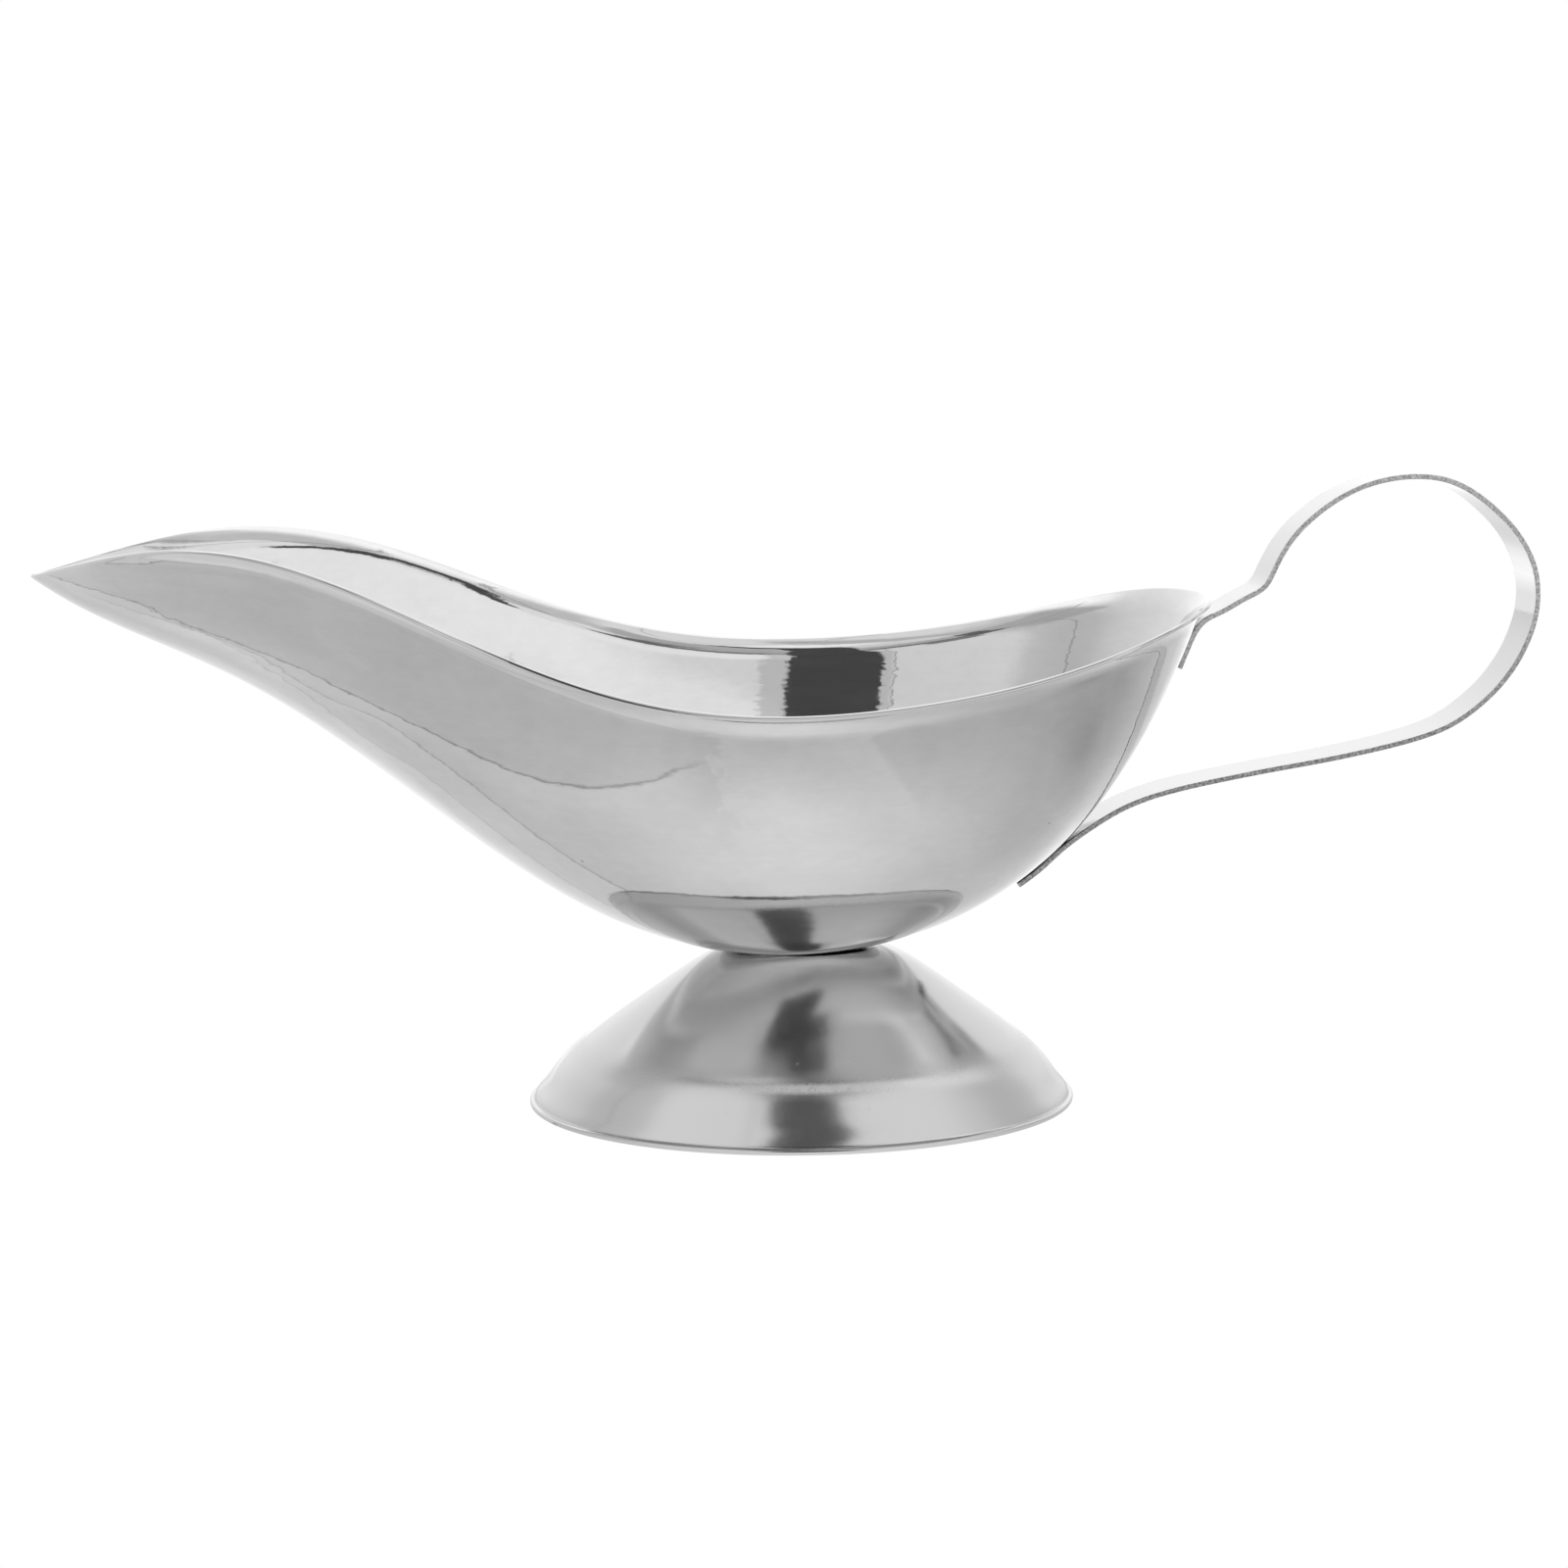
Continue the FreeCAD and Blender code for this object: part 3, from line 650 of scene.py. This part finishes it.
def foot_material():
    """Satin metal, rougher round a worn band, with a matt shoulder and pits."""
    material, sh = new_material("foot_satin")
    coords = sh.object_coords()
    grain = sh.noise(coords, scale=900, detail=3, rough=0.65)
    fine = sh.noise(coords, scale=2600, detail=2, rough=0.6)
    blotch = sh.noise(coords, scale=60, detail=3, rough=0.55)
    x, _, z = sh.xyz(coords)
    worn = sh.band(z, rise=(0.0060, 0.0080), fall=(0.0106, 0.0083))
    worn_extra_rough = 0.13
    rough = sh.plus(sh.remap(grain, to=(0.120, 0.150)), sh.remap(blotch, to=(0.0, 0.025)),
                    sh.times(worn, worn_extra_rough))
    fine_bump = sh.bump(fine, distance=0.000004, strength=0.25)
    satin = sh.metal(grey_rgba(0.62), rough,
                     sh.bump(grain, distance=0.000006, strength=0.15, normal=fine_bump))
    # matt patches catch all the light: the shoulder at mid length, and a few pits
    matt = sh.add("ShaderNodeBsdfDiffuse", {"Color": grey_rgba(0.74)}).outputs["BSDF"]
    dots = sh.voronoi(coords, scale=420)
    pick = sh.add("ShaderNodeSeparateColor", {0: dots["Color"]}).outputs["Red"]
    glint = sh.times(sh.ease(dots["Distance"], start=0.13, end=0.06),
                     sh.ease(pick, start=0.74, end=0.76))
    shoulder = sh.times(sh.band(z, rise=(0.0071, 0.0078), fall=(0.0088, 0.0082)),
                        sh.ease(sh.math("ABSOLUTE", x), start=0.0125, end=0.0045))
    glint_share = 0.16
    matt_share = sh.math("MAXIMUM", sh.times(shoulder, sh.remap(grain, to=(0.55, 0.85))),
                         sh.times(glint, glint_share))
    sh.output(sh.mix_shaders(matt_share, satin, matt))
    return material


def strap_material():
    """Polished faces and granular sheared edges, with painted light making them paler towards
    the top.
    """
    material, sh = new_material("strap_polished")
    sheared = sh.attribute("sheared")
    coords = sh.object_coords()
    grain = sh.noise(coords, scale=2400, detail=3, rough=0.7)
    cloud = sh.noise(coords, scale=500, detail=2, rough=0.5)
    _, _, z = sh.xyz(coords)
    # painted light: the sheared edges' colour brightens with height
    painted_top_light = 0.15
    edge_level = sh.plus(sh.remap(grain, span=(0.35, 0.65), to=(0.16, 0.60)),
                         sh.times(sh.ease(z, start=0.048, end=0.072), painted_top_light))
    color = sh.mix(sheared, grey_rgba(0.56), sh.grey(edge_level), kind="RGBA")
    edge_rough = 0.38
    rough = sh.mix(sheared, sh.remap(cloud, to=(0.05, 0.12)), edge_rough)
    relief = sh.bump(sh.times(grain, sheared), distance=0.00006, strength=0.8)
    sh.output(sh.metal(color, rough, relief))
    return material


def weld_material():
    material, sh = new_material("weld_metal")
    coords = sh.object_coords()
    grain = sh.noise(coords, scale=1200, detail=3, rough=0.6)
    heat = sh.remap(sh.noise(coords, scale=400, detail=2, rough=0.5), to=(0.0, 1.0))
    dark, warm = (0.30, 0.29, 0.28, 1), (0.45, 0.42, 0.38, 1)
    color = sh.mix(heat, dark, warm, kind="RGBA")
    relief = sh.bump(grain, distance=0.00003, strength=0.5)
    sh.output(sh.metal(color, sh.remap(grain, to=(0.3, 0.5)), relief))
    return material


bowl.data.materials.append(bowl_material())
foot.data.materials.append(foot_material())
strap.data.materials.append(strap_material())
weld_metal = weld_material()
for name in ("foot_spot_welds", "upper_handle_spot_welds", "lower_handle_spot_welds"):
    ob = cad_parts[name]
    if ob.material_slots:
        for slot in ob.material_slots:
            slot.material = weld_metal
    else:
        ob.data.materials.append(weld_metal)

# =====================================================================
#  Floor (metres; the painted light and shade on it in millimetres)
# =====================================================================
FLOOR_HALF = 6
# brightness gained from front (-Y) to back (+Y): x, gain
SIDE_GAIN = [(-300, 0.75), (-180, 0.42), (-120, 0.36), (-80, 0.50), (-35, 0.74), (0, 0.80),
             (45, 0.74), (75, 0.48), (100, 0.15), (160, 0.10), (300, 0.45)]
# soft round pools of light or shade: x, y, radius in x, radius in y, amount
POOLS = [(5.0, -38.0, 48.0, 25.0, 0.38), (-56.0, -18.0, 24.0, 18.0, 0.08),
         (100.0, -16.0, 12.0, 14.0, -0.10), (88.0, 42.0, 26.0, 24.0, 0.13),
         (10.0, -115.0, 24.0, 40.0, -0.26), (135.0, -20.0, 60.0, 45.0, -0.14),
         (100.0, -150.0, 90.0, 90.0, -0.12)]
# painted dark lines: brightness step behind, darkness of the line, first x, last x, path of
# (x, y)
PAINTED_LINES = [
    (0.10, 0.34, -210.0, -20.0,
     [(-250, 6), (-188, 4), (-160, 1), (-138, 9), (-124, 5), (-98, -13), (-69, -31),
      (-39, -50), (0, -66), (250, -66)]),
    (0.07, 0.22, -140.0, -20.0,
     [(-250, 10), (-132, 11), (-120, 17), (-108, 4), (-80, -5), (-59, -8), (0, -10),
      (250, -10)]),
    (0.06, 0.16, -170.0, -20.0,
     [(-250, 12), (-142, 11), (-118, 26), (-104, 31), (-90, 19), (-63, 13), (0, 10),
      (250, 10)]),
]


def lay_painted_line(sh, level, x, y, step, dark, first_x, last_x, path):
    """A thin painted dark line with a step in brightness behind it."""
    lift = 100.0            # keeps the path's y positive inside the curve
    line_width, end_soft = 0.55, 12
    painted_line_y = sh.curve(x, span=(-250.0, 250.0), points=[(a, b + lift) for a, b in path],
                      top=2 * lift)
    behind = sh.plus(sh.math("SUBTRACT", y, painted_line_y), lift)
    ends = sh.band(x, rise=(first_x - end_soft, first_x + end_soft),
                   fall=(last_x + end_soft, last_x - end_soft))
    ledge = sh.band(behind, rise=(0.0, 0.4), fall=(22.5, 0.4))
    line = sh.hump(sh.math("DIVIDE", behind, line_width))
    return sh.math("SUBTRACT", sh.plus(level, sh.times(ledge, ends, step)),
                   sh.times(line, ends, dark))


def floor_material():
    """White to the camera; mirrored, a glowing sheet of painted light and shade, brighter
    towards the back.
    """
    material, sh = new_material("floor_painted_light")
    position = sh.geometry("Position")
    x, y, _ = sh.xyz(position)
    x, y = sh.times(x, 1000.0), sh.times(y, 1000.0)
    radius = sh.math("SQRT", sh.plus(sh.times(x, x), sh.times(y, y)))

    base_level, back_gain, left_gain = 0.67, 0.30, 0.22
    gain = sh.curve(x, span=(-300.0, 300.0), points=SIDE_GAIN)
    level = sh.plus(sh.times(gain, sh.ease(y, start=-25.0, end=95.0)), base_level)
    for pool_x, pool_y, radius_x, radius_y, amount in POOLS:
        offset_x = sh.math("DIVIDE", sh.math("SUBTRACT", x, pool_x), radius_x)
        offset_y = sh.math("DIVIDE", sh.math("SUBTRACT", y, pool_y), radius_y)
        level = sh.plus(level, sh.times(sh.hump(offset_x, offset_y), amount))
    level = sh.plus(level, sh.times(sh.ease(y, start=70.0, end=260.0), back_gain),
                    sh.times(sh.ease(x, start=-150.0, end=-260.0), left_gain))

    # two outer zones: inner radius, softness, gain at the back, level, weight
    at_back = sh.ease(y, start=60.0, end=330.0)
    for inner, soft, gain, base, weight in ((260.0, 160.0, 0.27, 0.98, 0.8),
                                            (500.0, 300.0, 0.24, 1.06, 1.0)):
        level = sh.panel(level, brightness=sh.plus(sh.times(at_back, gain), base),
                         sides=[(radius, inner, None, soft)], weight=weight)
    # painted shade: darker far to the front
    level = sh.panel(level, brightness=0.72, sides=[(y, None, -160.0, 80.0)], weight=0.8)

    # a brighter patch of painted light in front of the belly, ragged on its -X edge
    bright_patch_gain = 0.07
    rag = sh.noise(position, scale=160.0, detail=4.0, rough=0.6)
    ragged_x = sh.plus(x, sh.remap(rag, to=(-7.0, 7.0)))
    bright_patch = sh.times(sh.ease(ragged_x, start=-9.0, end=-6.5),
                     sh.ease(x, start=42.5, end=40.0),
                     sh.ease(y, start=-38.0, end=-50.0), bright_patch_gain)
    level = sh.plus(level, bright_patch)
    clouds = sh.noise(position, scale=34.0, detail=4.0, rough=0.6, distortion=0.6)
    level = sh.times(level, sh.remap(clouds, to=(0.955, 1.045)))
    for painted_line in PAINTED_LINES:
        level = lay_painted_line(sh, level, x, y, *painted_line)

    paper = sh.noise(position, scale=900.0)
    strength = sh.times(sh.white_to_camera(level), sh.remap(paper, to=(0.999, 1.001)))
    # the floor glows: its emission paints the light and shade that the metal mirrors
    glow = sh.add("ShaderNodeEmission", {"Strength": strength, "Color": grey_rgba(1)})
    sh.output(glow.outputs["Emission"])
    return material


corners = [[-1, -1, 0], [1, -1, 0], [1, 1, 0], [-1, 1, 0]]
floor = make_mesh("floor", np.array(corners, float) * FLOOR_HALF, [(0, 1, 2, 3)],
                  smooth_faces=False)
floor.data.materials.append(floor_material())

# =====================================================================
#  Studio (degrees; azimuth 0 faces -Y, positive towards +X)
# =====================================================================
DEGREES_PER_RADIAN = 57.29578
# wall brightness: azimuth, level
WALL = [(-180, 1.35), (-150, 1.14), (-122, 0.99), (-98, 0.86), (-75, 0.70), (-56, 0.76),
        (-42, 0.98), (-22, 0.96), (15, 0.98), (38, 0.98), (60, 0.82), (78, 0.68),
        (92, 0.74), (110, 0.98), (140, 1.12), (165, 1.32), (180, 1.35)]


def studio_level(sh):
    """A tent of soft panels, with a dark gap on the lens side and seams in the cloth."""
    generated = sh.add("ShaderNodeTexCoord", {}).outputs["Generated"]
    x, y, z = sh.xyz(generated)
    az = sh.times(sh.math("ARCTAN2", x, sh.times(y, -1.0)), DEGREES_PER_RADIAN)
    el = sh.times(sh.math("ARCSINE", z), DEGREES_PER_RADIAN)
    low_shade, sag_slope, gap_shift = 0.14, 0.31, 4.5
    wall = sh.curve(az, span=(-180.0, 180.0), points=WALL)
    low = sh.ease(el, start=14.0, end=-2.0)
    level = sh.math("SUBTRACT", wall, sh.times(low, low_shade))

    # elevation that drifts with azimuth, and azimuths shifted to the gap's foot and head
    off_side = sh.math("MAXIMUM", sh.math("SUBTRACT", 90.0, az), 0.0)
    sag = sh.plus(el, sh.times(off_side, sag_slope))
    foot_az = sh.math("SUBTRACT", az, sh.times(sh.ease(el, start=30.0, end=3.0), gap_shift))
    head_az = sh.math("SUBTRACT", az, sh.times(sh.ease(el, start=43.0, end=54.0), gap_shift))

    # twice (coordinate, low, high, softness), then brightness and weight
    panels = [
        # top cloth and side cloths above the walls
        (az, None, None, 1.0, el, 52.0, None, 4.0, 0.78, 1.0),
        (az, -112.0, 108.0, 10.0, el, 66.0, None, 4.0, 1.05, 1.0),
        (az, -48.0, 24.0, 8.0, el, 65.0, 73.0, 2.5, 1.32, 1.0),
        (az, -64.0, -46.0, 6.0, el, 60.0, 80.0, 3.0, 0.66, 1.0),
        (az, None, -112.0, 12.0, el, 46.0, None, 6.0, 1.55, 1.0),
        (az, 112.0, None, 12.0, el, 46.0, None, 6.0, 1.50, 1.0),
        # bright header, then the strips and patches about it
        (az, 14.0, 62.0, 3.0, el, 39.0, 49.0, 1.6, 1.18, 1.0),
        (az, 46.0, 84.0, 5.0, el, 32.0, 45.0, 1.6, 1.24, 1.0),
        (az, -108.0, 66.0, 9.0, el, 52.5, 60.0, 1.6, 0.58, 1.0),
        (az, -50.0, 60.0, 6.0, el, 59.0, 65.0, 1.6, 0.95, 1.0),
        (az, -105.0, -60.0, 6.0, el, 38.0, 52.0, 2.0, 0.53, 0.8),
        (az, 94.0, 108.0, 3.0, el, 34.0, 46.0, 2.0, 0.60, 1.0),
        (az, 58.0, 78.0, 2.0, el, 40.0, 56.0, 2.0, 1.12, 1.0),
        # dark strips, the first one sloping
        (az, 65.0, 104.0, 1.2, sag, 46.9, 49.8, 0.6, 0.08, 1.0),
        (az, -60.0, 62.0, 3.0, el, 50.2, 53.2, 0.6, 0.12, 0.9),
        (az, -58.0, -46.0, 2.0, el, 50.0, 59.0, 1.5, 0.16, 1.0),
        (az, -47.0, -28.0, 2.0, el, 46.0, 50.5, 1.2, 0.28, 1.0),
        (az, 52.0, 63.0, 2.5, el, 50.0, 60.0, 1.5, 0.20, 1.0),
        # shaded corner high towards +X
        (az, 27.0, 74.0, 2.0, el, 56.5, 71.0, 1.8, 0.56, 0.9),
        # the gap: its soft border, foot and head
        (head_az, -13.5, 26.0, 0.8, el, 30.0, 71.0, 1.5, 0.60, 0.6),
        (foot_az, -9.5, 12.0, 1.6, el, -8.0, 33.0, 1.5, 0.12, 1.0),
        (head_az, -10.5, 19.0, 0.8, el, 30.5, 72.0, 1.5, 0.072, 1.0),
    ]
    # seams: centre, half width, weight
    seam_level = 0.15
    for centre, half, weight in ((-14.2, 0.28, 0.6), (-72.5, 0.35, 0.6)):
        panels.append((az, centre - half, centre + half, 0.3,
                       el, 10.0, 51.0, 1.0, seam_level, weight))
    for centre, half, weight in ((51.6, 0.30, 0.6), (76.0, 0.35, 0.3)):
        panels.append((az, -120.0, 120.0, 6.0,
                       el, centre - half, centre + half, 0.35, seam_level, weight))
    for *sides, brightness, weight in panels:
        level = sh.panel(level, brightness, [sides[:4], sides[4:]], weight)
    return level


world = bpy.data.worlds.new("studio")
bpy.context.scene.world = world
world.use_nodes = True
sky = Shader(world.node_tree)
strength = sky.white_to_camera(studio_level(sky))
background = sky.add("ShaderNodeBackground", {"Color": grey_rgba(1), "Strength": strength})
sky.output(background.outputs["Background"], kind="ShaderNodeOutputWorld")

# =====================================================================
#  Camera (metres; sensor and lens in millimetres)
# =====================================================================
CAMERA_RIGHT = (0.9955864, -0.0934412, 0.0087464)
CAMERA_UP = (0.0093315, 0.1912948, 0.9814883)
CAMERA_BACK = (-0.0933846, -0.9770747, 0.1913225)
CAMERA_PLACE = (-0.032005, -0.302136, 0.104121)

cam_data = bpy.data.cameras.new("camera")
cam = bpy.data.objects.new("camera", cam_data)
bpy.context.scene.collection.objects.link(cam)
cam_data.sensor_fit = "HORIZONTAL"
cam_data.sensor_width = 36.0
cam_data.lens = 51.75
cam_data.clip_start = 0.01
cam.matrix_world = Matrix(((*CAMERA_RIGHT, 0), (*CAMERA_UP, 0), (*CAMERA_BACK, 0),
                           (*CAMERA_PLACE, 1))).transposed()
bpy.context.scene.camera = cam
bpy.context.scene.view_settings.view_transform = "Standard"
